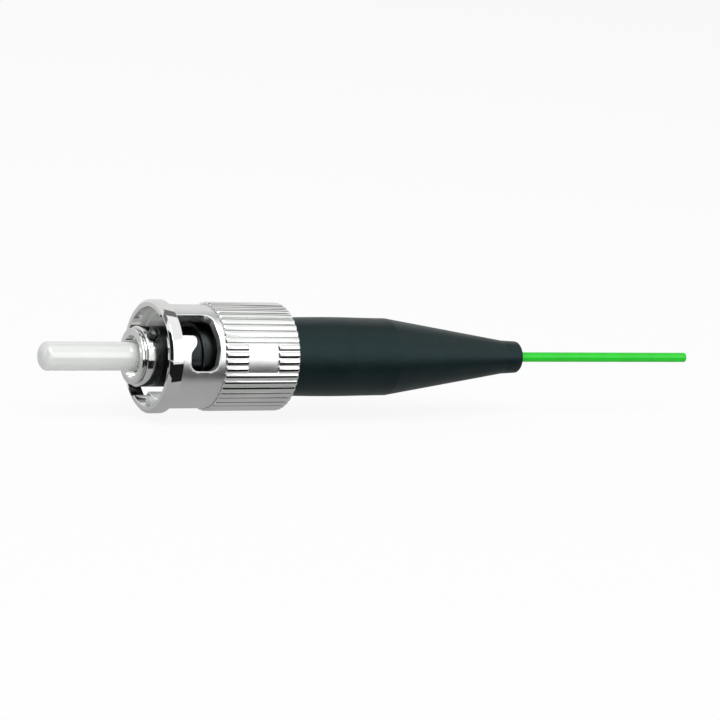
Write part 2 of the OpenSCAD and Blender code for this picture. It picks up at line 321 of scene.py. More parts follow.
def swept(name: str, path: list[Vector], radius: float, sides: int) -> bpy.types.Object:
    """Sweeps a round section along a path, with flat ends.

    Args:
        name: Name of the piece.
        path: Points of the centre line, in millimetres.
        radius: Radius of the section, in millimetres.
        sides: Number of faces round the section.

    Returns:
        The piece.
    """
    sections: list[list[Vertex]] = []
    tangent = (path[1] - path[0]).normalized()
    normal = tangent.orthogonal().normalized()
    for i, p in enumerate(path):
        ahead = path[min(i + 1, len(path) - 1)] - path[max(i - 1, 0)]
        ahead.normalize()
        normal = (normal - ahead * normal.dot(ahead)).normalized()
        side = ahead.cross(normal)
        turns = [2 * math.pi * k / sides for k in range(sides)]
        spots = [p + (normal * math.cos(a) + side * math.sin(a)) * radius for a in turns]
        sections.append([(q.x * MM, q.y * MM, q.z * MM) for q in spots])
    return finish_mesh(name, *lofted(sections), 50.0, 0.0001)


# ---------------------------------------------------------------- node groups


def new_group(name: str, inputs: dict[str, tuple[str, float]],
              outputs: dict[str, str]) -> bpy.types.NodeTree:
    """Starts a shader node group.

    Args:
        name: Name of the group.
        inputs: Socket type and default value of each input.
        outputs: Socket type of each output.

    Returns:
        The group, with its input and output nodes made.
    """
    tree = bpy.data.node_groups.new(name, "ShaderNodeTree")
    for label, (kind, value) in inputs.items():
        socket = tree.interface.new_socket(label, in_out="INPUT", socket_type=kind)
        if value is not None:
            socket.default_value = value
    for label, kind in outputs.items():
        tree.interface.new_socket(label, in_out="OUTPUT", socket_type=kind)
    tree.nodes.new("NodeGroupInput").name = "in"
    tree.nodes.new("NodeGroupOutput").name = "out"
    return tree


def node(tree: bpy.types.NodeTree, kind: str, settings: dict | None = None,
         **sockets: object) -> bpy.types.Node:
    """Adds a node to a tree.

    Args:
        tree: The tree.
        kind: The node's type.
        settings: Values of the node's own properties.
        **sockets: Values, or output sockets to link, by input name; i0, i1... count inputs.

    Returns:
        The node.
    """
    made = tree.nodes.new(kind)
    for key, value in (settings or {}).items():
        setattr(made, key, value)
    for key, value in sockets.items():
        number = key[1:]
        socket = made.inputs[int(number) if key[0] == "i" and number.isdigit()
                             else key.replace("_", " ")]
        if isinstance(value, bpy.types.NodeSocket):
            tree.links.new(value, socket)
        else:
            socket.default_value = value
    return made


def math_node(tree: bpy.types.NodeTree, operation: str, *values: object) -> bpy.types.NodeSocket:
    """Adds a Math node.

    Args:
        tree: The tree.
        operation: The operation's name.
        *values: Numbers or output sockets.

    Returns:
        The node's output.
    """
    sockets = {f"i{i}": v for i, v in enumerate(values)}
    return node(tree, "ShaderNodeMath", {"operation": operation}, **sockets).outputs[0]


def turning_marks() -> bpy.types.NodeTree:
    """Builds the group that draws fine lathe lines round the axis, with soft uneven spots.

    Returns:
        The group. Its outputs are a height and a roughness.
    """
    tree = new_group("turning_marks",
                     {"Lines": ("NodeSocketFloat", 9000.0), "Roughness": ("NodeSocketFloat", 0.1),
                      "Spread": ("NodeSocketFloat", 0.05)},
                     {"Height": "NodeSocketFloat", "Roughness": "NodeSocketFloat"})
    inp, out = tree.nodes["in"], tree.nodes["out"]
    place = node(tree, "ShaderNodeTexCoord").outputs["Object"]
    parts = node(tree, "ShaderNodeSeparateXYZ", None, i0=place)
    line = node(tree, "ShaderNodeTexNoise", {"noise_dimensions": "1D"},
                W=math_node(tree, "MULTIPLY", parts.outputs[0], inp.outputs["Lines"]),
                Scale=1.0, Detail=3.0, Roughness=0.6)
    spots = node(tree, "ShaderNodeTexNoise", None, Vector=place, Scale=900.0, Detail=4.0,
                 Roughness=0.55)
    fine = node(tree, "ShaderNodeTexNoise", None, Vector=place, Scale=6000.0, Detail=2.0)
    both = math_node(tree, "MULTIPLY_ADD", spots.outputs["Fac"], 0.5,
                     math_node(tree, "MULTIPLY", line.outputs["Fac"], 0.5))
    rough = math_node(tree, "MULTIPLY_ADD", math_node(tree, "SUBTRACT", both, 0.5),
                      inp.outputs["Spread"], inp.outputs["Roughness"])
    height = math_node(tree, "MULTIPLY_ADD", fine.outputs["Fac"], 0.25, line.outputs["Fac"])
    tree.links.new(height, out.inputs["Height"])
    tree.links.new(rough, out.inputs["Roughness"])
    return tree


def handling_wear() -> bpy.types.NodeTree:
    """Builds the group that varies a colour softly and darkens it in spots.

    Returns:
        The group. Its output is a colour.
    """
    tree = new_group("handling_wear",
                     {"Color": ("NodeSocketColor", (1, 1, 1, 1)),
                      "Second": ("NodeSocketColor", (1, 1, 1, 1)),
                      "Scale": ("NodeSocketFloat", 400.0), "Detail": ("NodeSocketFloat", 4.0)},
                     {"Color": "NodeSocketColor"})
    inp, out = tree.nodes["in"], tree.nodes["out"]
    place = node(tree, "ShaderNodeTexCoord").outputs["Object"]
    noise = node(tree, "ShaderNodeTexNoise", None, Vector=place,
                 Scale=inp.outputs["Scale"], Detail=inp.outputs["Detail"], Roughness=0.6)
    ramp = node(tree, "ShaderNodeMapRange", None, Value=noise.outputs["Fac"],
                i1=0.35, i2=0.65, i3=0.0, i4=1.0)
    mix = node(tree, "ShaderNodeMix", {"data_type": "RGBA"}, i0=ramp.outputs[0],
               i6=inp.outputs["Color"], i7=inp.outputs["Second"])
    tree.links.new(mix.outputs[2], out.inputs["Color"])
    return tree


def moulded_skin() -> bpy.types.NodeTree:
    """Builds the group that gives a moulded surface its fine grain and low waves.

    Returns:
        The group. Its outputs are a height and a roughness.
    """
    tree = new_group("moulded_skin",
                     {"Grain": ("NodeSocketFloat", 5000.0), "Waves": ("NodeSocketFloat", 350.0),
                      "Roughness": ("NodeSocketFloat", 0.45), "Spread": ("NodeSocketFloat", 0.1)},
                     {"Height": "NodeSocketFloat", "Roughness": "NodeSocketFloat"})
    inp, out = tree.nodes["in"], tree.nodes["out"]
    place = node(tree, "ShaderNodeTexCoord").outputs["Object"]
    grain = node(tree, "ShaderNodeTexNoise", None, Vector=place, Scale=inp.outputs["Grain"],
                 Detail=3.0)
    waves = node(tree, "ShaderNodeTexNoise", None, Vector=place, Scale=inp.outputs["Waves"],
                 Detail=2.0)
    height = math_node(tree, "MULTIPLY_ADD", waves.outputs["Fac"], 1.6, grain.outputs["Fac"])
    rough = math_node(tree, "MULTIPLY_ADD",
                      math_node(tree, "SUBTRACT", waves.outputs["Fac"], 0.5),
                      inp.outputs["Spread"], inp.outputs["Roughness"])
    tree.links.new(height, out.inputs["Height"])
    tree.links.new(rough, out.inputs["Roughness"])
    return tree


def group_node(tree: bpy.types.NodeTree, group: str, **values: object) -> bpy.types.Node:
    """Places a shared group in a material, with its own values.

    Args:
        tree: The material's tree.
        group: Name of the group.
        **values: Values by input name.

    Returns:
        The group's node.
    """
    made = tree.nodes.new("ShaderNodeGroup")
    made.node_tree = bpy.data.node_groups[group]
    for key, value in values.items():
        made.inputs[key].default_value = value
    return made


# ---------------------------------------------------------------- finishes


@dataclass(frozen=True)
class Metal:
    """A bare or plated metal.

    Attributes:
        name: Name of the material.
        color: Colour of the reflection.
        second: Colour of its duller spots.
        plating: How brightly it is finished.
        lines: Lathe lines, as a frequency along the axis.
        depth: Depth of the lines' bump, in metres.
        shade: Stations between which painted shade darkens the colour and the roughness rises, in
            metres.
    """

    name: str
    color: tuple[float, float, float] = (0.86, 0.872, 0.858)
    second: tuple[float, float, float] = (0.8, 0.812, 0.8)
    plating: Plating = Plating.BRIGHT
    lines: float = 9000.0
    depth: float = 0.0000008
    shade: tuple[float, float] = (0.0, 0.0)

    def build(self) -> bpy.types.Material:
        """Makes the material."""
        material = bpy.data.materials.new(self.name)
        material.use_nodes = True
        tree = material.node_tree
        shader = tree.nodes["Principled BSDF"]
        shader.inputs["Metallic"].default_value = 1.0
        wear = group_node(tree, "handling_wear", Color=(*self.color, 1),
                          Second=(*self.second, 1), Scale=300.0)
        marks = group_node(tree, "turning_marks", Lines=self.lines,
                           Roughness=self.plating.value, Spread=self.plating.value * 0.9)
        bump = node(tree, "ShaderNodeBump", None, Strength=1.0, Distance=self.depth,
                    Height=marks.outputs["Height"])
        color, rough = wear.outputs["Color"], marks.outputs["Roughness"]
        # Painted shade: between the two stations along the axis the colour darkens to near-black
        # and the roughness rises.
        if self.shade[1]:
            place = node(tree, "ShaderNodeTexCoord").outputs["Object"]
            along = node(tree, "ShaderNodeSeparateXYZ", None, i0=place).outputs[0]
            deep = node(tree, "ShaderNodeMapRange", {"interpolation_type": "SMOOTHSTEP"},
                        Value=along, i1=self.shade[0], i2=self.shade[1], i3=0.0, i4=1.0)
            mix = node(tree, "ShaderNodeMix", {"data_type": "RGBA"}, i0=deep.outputs[0],
                       i6=color, i7=PAINTED_SHADE)
            color = mix.outputs[2]
            rough = math_node(tree, "MULTIPLY_ADD", deep.outputs[0], DULLER, rough)
        tree.links.new(color, shader.inputs["Base Color"])
        tree.links.new(rough, shader.inputs["Roughness"])
        tree.links.new(bump.outputs["Normal"], shader.inputs["Normal"])
        return material


@dataclass(frozen=True)
class Plastic:
    """A moulded, extruded or sintered finish without metal in it.

    Attributes:
        name: Name of the material.
        color: Main colour.
        second: Colour of its soft spots.
        roughness: Roughness of the surface.
        spread: How much the roughness varies.
        grain: Frequency of the fine grain.
        waves: Frequency of the low waves.
        depth: Depth of the bump, in metres.
        ior: Index of refraction.
        gloss: Tint of the reflections.
        scatter: Share of light that scatters below the surface.
        patches: Frequency of the colour's soft spots.
    """

    name: str
    color: tuple[float, float, float]
    second: tuple[float, float, float]
    roughness: float = 0.4
    spread: float = 0.1
    grain: float = 5000.0
    waves: float = 350.0
    depth: float = 0.000004
    ior: float = 1.5
    gloss: tuple[float, float, float] = (1.0, 1.0, 1.0)
    scatter: float = 0.0
    patches: float = 500.0

    def build(self) -> bpy.types.Material:
        """Makes the material."""
        material = bpy.data.materials.new(self.name)
        material.use_nodes = True
        tree = material.node_tree
        shader = tree.nodes["Principled BSDF"]
        shader.inputs["IOR"].default_value = self.ior
        shader.inputs["Specular Tint"].default_value = (*self.gloss, 1)
        if self.scatter:
            shader.inputs["Subsurface Weight"].default_value = self.scatter
            shader.inputs["Subsurface Radius"].default_value = (0.0004, 0.0004, 0.0004)
            shader.inputs["Subsurface Scale"].default_value = 1.0
        wear = group_node(tree, "handling_wear", Color=(*self.color, 1),
                          Second=(*self.second, 1), Scale=self.patches)
        skin = group_node(tree, "moulded_skin", Grain=self.grain, Waves=self.waves,
                          Roughness=self.roughness, Spread=self.spread)
        bump = node(tree, "ShaderNodeBump", None, Strength=1.0, Distance=self.depth,
                    Height=skin.outputs["Height"])
        tree.links.new(wear.outputs["Color"], shader.inputs["Base Color"])
        tree.links.new(skin.outputs["Roughness"], shader.inputs["Roughness"])
        tree.links.new(bump.outputs["Normal"], shader.inputs["Normal"])
        return material


@dataclass(frozen=True)
class Glass:
    """The bare glass of the fibre.

    Attributes:
        name: Name of the material.
    """

    name: str

    def build(self) -> bpy.types.Material:
        """Makes the material."""
        material = bpy.data.materials.new(self.name)
        material.use_nodes = True
        tree = material.node_tree
        shader = tree.nodes["Principled BSDF"]
        shader.inputs["IOR"].default_value = 1.47
        shader.inputs["Transmission Weight"].default_value = 0.85
        skin = group_node(tree, "moulded_skin", Roughness=0.06, Spread=0.04)
        tint = group_node(tree, "handling_wear", Color=(0.9, 0.96, 0.97, 1),
                          Second=(0.86, 0.94, 0.95, 1))
        tree.links.new(tint.outputs["Color"], shader.inputs["Base Color"])
        tree.links.new(skin.outputs["Roughness"], shader.inputs["Roughness"])
        return material


NICKEL = Metal("nickel_plate")
NICKEL_TURNED = Metal("nickel_turned", plating=Plating.TURNED, lines=14000.0, depth=0.0000016)
# The body's nickel darkens with painted shade from 9.4 mm to 10.7 mm, where it passes into the
# nut.
BODY_METAL = Metal("body_metal", plating=Plating.TURNED, lines=14000.0, depth=0.0000016,
                   shade=(0.0094, 0.0107))
BARREL_METAL = Metal("satin_barrel", plating=Plating.BEAD, lines=5200.0, depth=0.0000024)
# Grey metal that stands for painted shade on the groove floors between the grip's ridges.
GROOVE_SHADE_METAL = Metal("groove_painted_shade", (0.42, 0.43, 0.425), (0.34, 0.35, 0.345), Plating.SATIN)
# Near-black metal that stands for painted shade: on the holder behind its lip, on the nickel key
# pin, in the nut's bore and in the notches at the grip's front.
PAINTED_SHADE_METAL = Metal("painted_shade_metal", (0.10, 0.108, 0.108), (0.07, 0.076, 0.076), Plating.SATIN)
SPRING = Metal("spring_wire", (0.6, 0.6, 0.61), (0.5, 0.49, 0.48), Plating.SATIN)
CERAMIC = Plastic("zirconia", (0.765, 0.785, 0.765), (0.745, 0.765, 0.745), roughness=0.16,
                  spread=0.05, grain=9000.0, waves=600.0, depth=0.0000006, ior=2.0, scatter=0.25)
ELASTOMER = Plastic("boot_elastomer", (0.0025, 0.0075, 0.0085), (0.004, 0.0105, 0.0115),
                    roughness=0.4, spread=0.16, grain=3600.0, waves=420.0, depth=0.00001,
                    ior=1.38, gloss=(0.52, 0.78, 0.8))
BUFFER = Plastic("green_buffer", (0.006, 0.62, 0.014), (0.008, 0.56, 0.016), roughness=0.3,
                 spread=0.1, waves=700.0, depth=0.000005)
GUIDE = Plastic("guide_tube_plastic", (0.78, 0.78, 0.75), (0.72, 0.72, 0.69))
FIBRE_GLASS = Glass("fibre_glass")


def dress(obj: bpy.types.Object, *materials: bpy.types.Material) -> None:
    """Gives a piece its materials, without changing which face has which.

    Args:
        obj: The piece.
        *materials: Its materials, in the order of its faces' numbers.
    """
    numbers = [face.material_index for face in obj.data.polygons]
    obj.data.materials.clear()
    for material in materials:
        obj.data.materials.append(material)
    last = len(materials) - 1
    for face, number in zip(obj.data.polygons, numbers):
        face.material_index = min(number, last)


# ---------------------------------------------------------------- sub-assemblies


@dataclass
class FerruleSet:
    """The ceramic ferrule in its metal holder."""

    ferrule_d: float = 2.5
    tip_face_d: float = 1.0
    tip_bevel: float = 0.68
    dome_radius: float = 12.0
    collar_x: float = 8.55
    recess_x: float = 9.35
    end_x: float = 13.0
    holder_end_x: float = 13.5
    collar_d: float = 4.9
    lip: float = 0.22
    recess_d: float = 3.64
    holder_d: float = 4.3
    glass_r: float = 0.0635

    def dome(self, r: float) -> float:
        """Returns how far the domed face lies behind its middle at a radius."""
        return self.dome_radius - math.sqrt(self.dome_radius**2 - r * r)

    def bevel(self, steps: int = 16) -> list[Point]:
        """Points of the bevel, from the face's edge to the ferrule's side.

        Args:
            steps: Number of straight parts.

        Returns:
            (station, radius) pairs.
        """
        start = math.radians(30)
        face, side = self.tip_face_d / 2, self.ferrule_d / 2
        x0 = self.dome(face)
        out = []
        for k in range(steps + 1):
            t = start + (math.pi / 2 - start) * k / steps
            r = side - (side - face) * (1 - math.sin(t)) / (1 - math.sin(start))
            x = x0 + (self.tip_bevel - x0) * (math.cos(start) - math.cos(t)) / math.cos(start)
            out.append((x, r))
        return out

    def build_ferrule(self) -> bpy.types.Object:
        """Makes the ferrule, with its bore for the glass."""
        side, tail = self.ferrule_d / 2, self.end_x
        face = [(self.dome(r), r) for r in (self.glass_r, 0.15, 0.25, 0.35, 0.43)]
        body = [(x, side) for x in (1.5, 3.0, 5.0, 7.0, 9.0, 11.0)]
        back = [(tail - 0.15, side), (tail, side - 0.15), (tail, 0.5), (tail - 1.0, self.glass_r)]
        return turned("ceramic_ferrule", [*face, *self.bevel(), *body, *back], 128, 40.0,
                      loop=True)

    def build_holder(self) -> bpy.types.Object:
        """Makes the holder: lip, recess and the tail inside the body, with painted shade on its
        side behind the lip.
        """
        x, r = self.collar_x, self.collar_d / 2
        outline = [(x, self.recess_d / 2, 0.04), (x, r, 0.06), (x + self.lip, r, 0.05),
                   (x + self.lip, self.holder_d / 2, 0.02),
                   (self.holder_end_x, self.holder_d / 2, 0.1), (self.holder_end_x, 0.9, 0.0),
                   (self.end_x, 0.9, 0.0), (self.end_x, self.ferrule_d / 2, 0.0),
                   (self.recess_x, self.ferrule_d / 2, 0.0),
                   (self.recess_x, self.recess_d / 2, 0.08)]
        holder = turned("ferrule_collar", rounded(outline, 0.05, 5, True), 160, 40.0, loop=True)
        # Painted shade: faces on the holder's side behind the lip take the second, near-black
        # material, for the shade in the gap between collar and body.
        gap = (self.collar_x + self.lip - 0.03) * MM
        for face in holder.data.polygons:
            reach = math.hypot(face.center[1], face.center[2]) / MM
            face.material_index = int(face.center[0] > gap and reach > self.holder_d / 2 - 0.03)
        return holder


@dataclass
class Body:
    """The plated body with its key, retaining clip and thrust washer."""

    front_x: float = 8.97
    barrel_d: float = 5.3
    bore_d: float = 4.3
    stop_x: float = 14.1
    stop_d: float = 6.0
    flange_x: float = 15.3
    flange_end_x: float = 15.9
    flange_r: float = 3.67
    tube_d: float = 4.9
    groove_x: float = 21.9
    groove_end_x: float = 22.44
    groove_r: float = 2.1
    boot_x: float = 22.5
    stem_d: float = 4.1
    stem_end_x: float = 31.5
    stem_bore_r: float = 0.93
    bore_end_x: float = 13.5
    barbs: int = 5
    barb: float = 0.24
    key_x: float = 9.62
    key_d: float = 1.0
    key_foot: float = 2.25
    key_top: float = 3.5
    key_angle: float = 39.0
    washer: tuple[float, float] = (20.68, 20.98)
    washer_r: tuple[float, float] = (2.53, 3.55)
    clip: tuple[float, float] = (21.92, 22.42)
    clip_r: tuple[float, float] = (2.12, 3.4)
    clip_sweep: float = 290.0
    clip_start: float = 35.0

    def build_body(self) -> bpy.types.Object:
        """Makes the turned body as a tube."""
        barbs: list[Point] = []
        pitch = (self.stem_end_x - self.boot_x - 1.0) / self.barbs
        for k in range(self.barbs):
            x = self.boot_x + 0.5 + k * pitch
            barbs += [(x, self.stem_d / 2, 0.02), (x, self.stem_d / 2 + self.barb, 0.02),
                      (x + 0.7 * pitch, self.stem_d / 2, 0.02)]
        tube, stop = self.tube_d / 2, self.stop_d / 2
        outline = [(self.front_x, self.bore_d / 2, 0.03), (self.front_x, self.barrel_d / 2, 0.13),
                   (self.stop_x, self.barrel_d / 2, 0.03), (self.stop_x, stop, 0.12),
                   (self.flange_x, stop, 0.03), (self.flange_x, self.flange_r, 0.06),
                   (self.flange_end_x, self.flange_r, 0.06), (self.flange_end_x, tube, 0.04),
                   (self.groove_x, tube, 0.03), (self.groove_x, self.groove_r, 0.02),
                   (self.groove_end_x, self.groove_r, 0.02), (self.groove_end_x, tube, 0.02),
                   (self.boot_x, tube, 0.02), (self.boot_x, self.stem_d / 2, 0.02), *barbs,
                   (self.stem_end_x, self.stem_d / 2, 0.05),
                   (self.stem_end_x, self.stem_bore_r, 0.02),
                   (self.bore_end_x, self.stem_bore_r, 0.0),
                   (self.bore_end_x, self.bore_d / 2, 0.0)]
        return turned("body_barrel", rounded(outline, 0.05, 4, True), 180, 40.0, loop=True)

    def build_key(self) -> bpy.types.Object:
        """Makes the key: a short pin with a crowned and rounded top."""
        r, foot, top = self.key_d / 2, self.key_foot, self.key_top
        profile = [(foot, 0.0), (foot, r)]
        profile += [(top - 0.2 + 0.12 * math.sin(t), r - 0.12 + 0.12 * math.cos(t))
                    for t in (math.radians(a) for a in range(0, 91, 15))]
        profile += [(top - 0.08 + 0.08 * math.cos(t), (r - 0.12) * math.sin(t))
                    for t in (math.radians(a) for a in range(75, -1, -15))]
        pin = turned("alignment_key", profile, 64, 40.0)
        a = math.radians(self.key_angle)
        radial = Vector((0, -math.sin(a), math.cos(a)))
        along = Vector((1, 0, 0))
        side = radial.cross(along)
        place = Matrix.Translation(along * self.key_x * MM) @ Matrix(
            (radial, along, side)).transposed().to_4x4()
        pin.data.transform(place)
        return pin

    def build_washer(self) -> bpy.types.Object:
        """Makes the thrust washer between spring and nut."""
        (front, rear), (bore, edge) = self.washer, self.washer_r
        outline = [(front, bore), (front, edge), (rear, edge), (rear, bore)]
        return turned("thrust_ring", rounded(outline, 0.05, 3, True), 128, 40.0, loop=True)

    def build_clip(self) -> bpy.types.Object:
        """Makes the open retaining clip behind the nut."""
        (front, rear), (bore, edge) = self.clip, self.clip_r
        outline = rounded([(front, bore), (front, edge), (rear, edge), (rear, bore)],
                          0.06, 3, True)
        steps = 72
        sections = []
        for k in range(steps + 1):
            phi = -(self.clip_start + self.clip_sweep * k / steps) - 90
            sections.append([polar(x, r, phi) for x, r in outline])
        return finish_mesh("spring_clip", *lofted(sections), 40.0)


@dataclass
class Spring:
    """The coil spring behind the body's flange."""

    start_x: float = 15.92
    length: float = 4.74
    wire_d: float = 0.5
    mean_d: float = 6.1
    turns: int = 4
    closed: float = 0.9
    steps: int = 48

    def station(self, n: float) -> float:
        """Returns the station of the wire's middle after n turns."""
        tight = self.wire_d * 1.02
        loose = (self.length - self.wire_d - 2 * self.closed * tight) / (
            self.turns - 2 * self.closed)
        middle = max(0.0, min(n, self.turns - self.closed) - self.closed)
        return (self.start_x + self.wire_d / 2 + tight * min(n, self.closed) + loose * middle
                + tight * max(0.0, n - self.turns + self.closed))

    def build(self) -> bpy.types.Object:
        """Makes the wire as one swept tube."""
        path = []
        for i in range(self.turns * self.steps + 1):
            n = i / self.steps
            x, y, z = polar(self.station(n), self.mean_d / 2, -360 * n - 90)
            path.append(Vector((x, y, z)) / MM)
        return swept("coil_wire", path, self.wire_d / 2 - 0.005, 16)


@dataclass
class CouplingNut:
    """The bayonet nut: front ring, slotted barrel, knurled grip and inner wall."""

    front_x: float = 10.04
    ring_end_x: float = 11.3
    knurl_x: float = 15.5
    end_x: float = 22.75
    ring_r: float = 4.96
    ring_bore_r: float = 4.3
    lug_r: float = 4.6
    outer_r: float = 4.55
    bore_r: float = 3.75
    sleeve_r: float = 4.58
    crest_r: float = 4.8
    wall_x: float = 21.0
    wall_end_x: float = 21.9
    wall_bore_r: float = 2.53
    recess_r: float = 3.72
    turn: float = 41.0
    slots: int = 2
    half: float = 1.1
    channel_x: float = 12.82
    channel_end_x: float = 15.02
    lug_end_x: float = 14.94
    seat_x: float = 12.2
    seat_turn: float = 40.4
    columns: int = 360
    rim: float = 0.06
    ridges: int = 45
    notch: float = 0.34
    pad_x: float = 17.75
    pad_end_x: float = 20.6
    pad_ridges: tuple[int, int] = (3, 6)

    def sector(self, r: float) -> float:
        """Returns half the slot's angle at a radius, in degrees."""
        return math.degrees(math.asin(self.half / r))

    def slot_line(self, r: float) -> list[Point]:
        """Draws the J-shaped opening's side, from the ring round to the ring again.

        Args:
            r: Radius at which the opening is drawn, in millimetres.

        Returns:
            (station, arc length from the entry's middle) pairs, in millimetres.
        """
        arc = r * math.pi / 180
        side, far = self.sector(r) * arc, self.seat_turn * arc
        rear, low = self.channel_end_x, self.lug_end_x
        corners = [(self.ring_end_x - 0.02, -side, 0.0), (low - 0.16, -side, 0.85),
                   (rear, 0.45 * far, 4.0), (rear, 0.75 * far, 3.0),
                   (low - 0.22, far + side, 0.8), (self.seat_x, far + side, 0.8),
                   (self.seat_x, far - 0.42 * side, 0.3),
                   (self.channel_x - 0.42, far - 0.68 * side, 0.6),
                   (self.channel_x, far - 1.15 * side, 0.9),
                   (self.channel_x, side, 0.36), (self.ring_end_x - 0.02, side, 0.0)]
        return rounded(corners, 0.3, 12)

    def edge_line(self, r: float, inset: float) -> list[Point]:
        """Draws the barrel's whole front edge with its openings, once round the nut.

        Args:
            r: Radius at which it is drawn, in millimetres.
            inset: How far it is moved into the metal, in millimetres.

        Returns:
            (station, angle) pairs, in millimetres and degrees.
        """
        arc = r * math.pi / 180
        pitch = 360 / self.slots
        slot = self.slot_line(r)
        low, high = slot[0][1] / arc, slot[-1][1] / arc
        count = int(self.columns / self.slots * 0.8)
        line: list[Point] = []
        for s in range(self.slots + 1):
            start = -pitch / 2 if s == 0 else (s - 1) * pitch + high
            stop = s * pitch + low if s < self.slots else s * pitch - pitch / 2
            part = count if 0 < s < self.slots else count // 2
            flat = [(slot[0][0], (start + (stop - start) * k / part) * arc)
                    for k in range(part + 1)]
            line += flat[(0 if s == 0 else 1):(None if s == self.slots else -1)]
            if s < self.slots:
                line += [(x, y + s * pitch * arc) for x, y in slot]
        return [(x, y / arc) for x, y in offset(line, -inset)]

    def sheet(self, verts: list[Vertex], faces: list[tuple[int, ...]], r: float,
              edge: list[Point], rear_x: float) -> None:
        """Adds a cylindrical sheet that ends in the slotted front edge.

        Args:
            verts: Points so far, in metres; new ones are added.
            faces: Faces so far; new ones are added.
            r: Radius of the sheet.
            edge: The front edge as (station, angle) pairs.
            rear_x: Station of the sheet's rear.
        """
        arc = r * math.pi / 180
        low, high = edge[0][1], edge[-1][1]
        front = edge[0][0]
        spots = [(x, a * arc) for x, a in edge]
        border = list(spots)
        rows = 20
        border += [(front + (rear_x - front) * k / rows, high * arc) for k in range(1, rows)]
        border += [(rear_x, (high + (low - high) * k / self.columns) * arc)
                   for k in range(self.columns + 1)]
        border += [(rear_x + (front - rear_x) * k / rows, low * arc) for k in range(1, rows)]
        flat = [Vector(p) for p in border]
        ids = list(range(len(flat)))
        lines = list(zip(ids, ids[1:] + ids[:1]))
        step = 0.2
        wide, tall = int((high - low) * arc / step), int((rear_x - front) / step)
        near: set[tuple[int, int]] = set()
        for x, y in spots:
            cell = (round(x / 0.1), round(y / 0.1))
            near |= {(cell[0] + i, cell[1] + j) for i in (-1, 0, 1) for j in (-1, 0, 1)}
        for i in range(1, tall):
            for k in range(1, wide):
                x, y = front + (rear_x - front) * i / tall, (low * arc) + step * k
                if (round(x / 0.1), round(y / 0.1)) not in near and y < (high * arc) - 0.05:
                    if inside(x, y, border):
                        flat.append(Vector((x, y)))
        points, _, triangles, _, _, _ = delaunay_2d_cdt(flat, lines, [], 0, CLOSE)
        base = len(verts)
        verts.extend(polar(p.x, r, p.y / arc) for p in points)
        for t in triangles:
            middle = sum((points[i] for i in t), Vector((0, 0))) / 3
            if inside(middle.x, middle.y, border):
                faces.append(tuple(base + i for i in t))

    def strips(self, verts: list[Vertex], faces: list[tuple[int, ...]],
               rows: list[list[Vertex]]) -> None:
        """Adds the faces between rows of points that lie side by side.

        Args:
            verts: Points so far, in metres; new ones are added.
            faces: Faces so far; new ones are added.
            rows: The rows, each with as many points as the next.
        """
        for one, two in zip(rows, rows[1:]):
            for i in range(len(one) - 1):
                base = len(verts)
                verts += [one[i], one[i + 1], two[i + 1], two[i]]
                faces.append((base, base + 1, base + 2, base + 3))

    def build_shell(self) -> bpy.types.Object:
        """Makes the barrel, the grip's sleeve and the inner wall as one closed shell."""
        verts: list[Vertex] = []
        faces: list[tuple[int, ...]] = []
        foot_r = self.outer_r - self.rim
        rims = [(self.outer_r, self.edge_line(self.outer_r, self.rim)),
                (self.outer_r - self.rim * 0.3,
                 self.edge_line(self.outer_r - self.rim * 0.3, self.rim * 0.3)),
                (foot_r, self.edge_line(foot_r, 0)),
                (self.bore_r + self.rim, self.edge_line(self.bore_r + self.rim, 0)),
                (self.bore_r, self.edge_line(self.bore_r, self.rim))]
        self.strips(verts, faces, [[polar(x, r, a) for x, a in edge] for r, edge in rims])
        self.sheet(verts, faces, self.outer_r, rims[0][1], self.knurl_x)
        self.sheet(verts, faces, self.bore_r, rims[-1][1], self.wall_x)
        sleeve, end = self.sleeve_r, self.end_x
        rear = rounded([(self.knurl_x, self.outer_r, 0.0), (self.knurl_x, sleeve, 0.0),
                        (self.knurl_x + self.notch, sleeve, 0.0),
                        (end, sleeve, 0.05), (end, self.recess_r, 0.1),
                        (self.wall_end_x, self.recess_r, 0.05),
                        (self.wall_end_x, self.wall_bore_r, 0.05),
                        (self.wall_x, self.wall_bore_r, 0.05), (self.wall_x, self.bore_r, 0.0)],
                       0.05, 3)
        turns = [360 * k / self.columns - 180 / self.slots for k in range(self.columns + 1)]
        self.strips(verts, faces, [[polar(x, r, a) for a in turns] for x, r in rear])
        shell = self.place(finish_mesh("nut_barrel", verts, faces, 36.0, 0.0008))
        for face in shell.data.polygons:
            face.material_index = self.finish_or_shade_at(face.center)
        return shell

    def finish_or_shade_at(self, middle: Vector) -> int:
        """Picks the shell's finish or painted shade at a face.

        Args:
            middle: The face's middle, in metres.

        Returns:
            0 for the barrel and rims, 1 for near-black painted shade in the bore and in the
            notches at the grip's front, 2 for grey painted shade on the groove floors between the
            ridges.
        """
        x, reach = middle[0] / MM, math.hypot(middle[1], middle[2]) / MM
        # Painted shade over the whole bore.
        if reach < self.bore_r + self.rim / 2 and x < self.wall_end_x:
            return 1
        turn = math.degrees(math.atan2(-middle[1], middle[2])) - self.turn
        first, last = self.pad_ridges
        pitch = 360 / self.ridges
        on_pad = (self.pad_x < x < self.pad_end_x and first * pitch < turn < (last + 1) * pitch)
        # Painted shade: near-black in the notches at the grip's front, grey on the groove floors
        # between the ridges.
        if reach > self.outer_r + 0.01 and self.knurl_x < x < self.end_x - 0.1 and not on_pad:
            return 1 if x < self.knurl_x + self.notch else 2
        return 0

